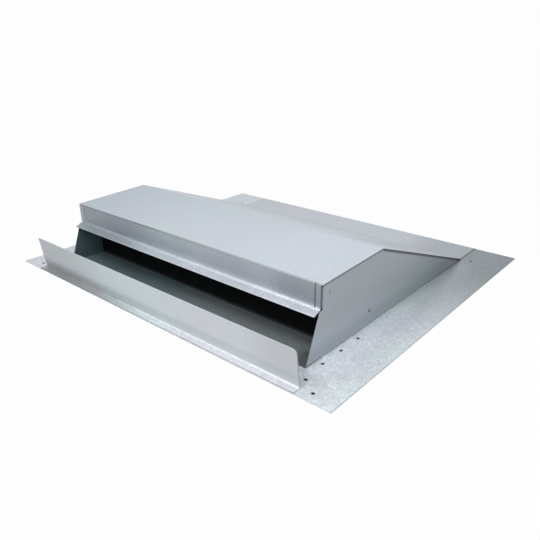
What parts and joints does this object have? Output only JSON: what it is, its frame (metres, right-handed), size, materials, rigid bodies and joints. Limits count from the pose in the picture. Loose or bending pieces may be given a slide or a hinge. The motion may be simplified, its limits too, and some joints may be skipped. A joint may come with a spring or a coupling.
{
  "type": "slope mounted roof ridge vent",
  "caption": "Low galvanised steel roof vent: flat flashing plate, wedge shaped hood over a screened throat, drip lip and a wind baffle across the mouth.",
  "frame": {"origin": "centre of the flashing plate, on its underside", "axes": "+X along the hood, +Y up the slope of the roof away from the mouth, +Z out of the roof"},
  "size_m": [0.78, 0.665, 0.1245],
  "materials": {
    "galvanised_sheet": "galvanised, faint spangle",
    "screen_mesh": "matt black woven mesh"
  },
  "bodies": {
    "root": {"flashing_plate": "galvanised_sheet", "housing": "galvanised_sheet", "hood_cover": "galvanised_sheet", "wind_baffle": "galvanised_sheet", "insect_screen": "screen_mesh"}
  },
  "joints": []
}
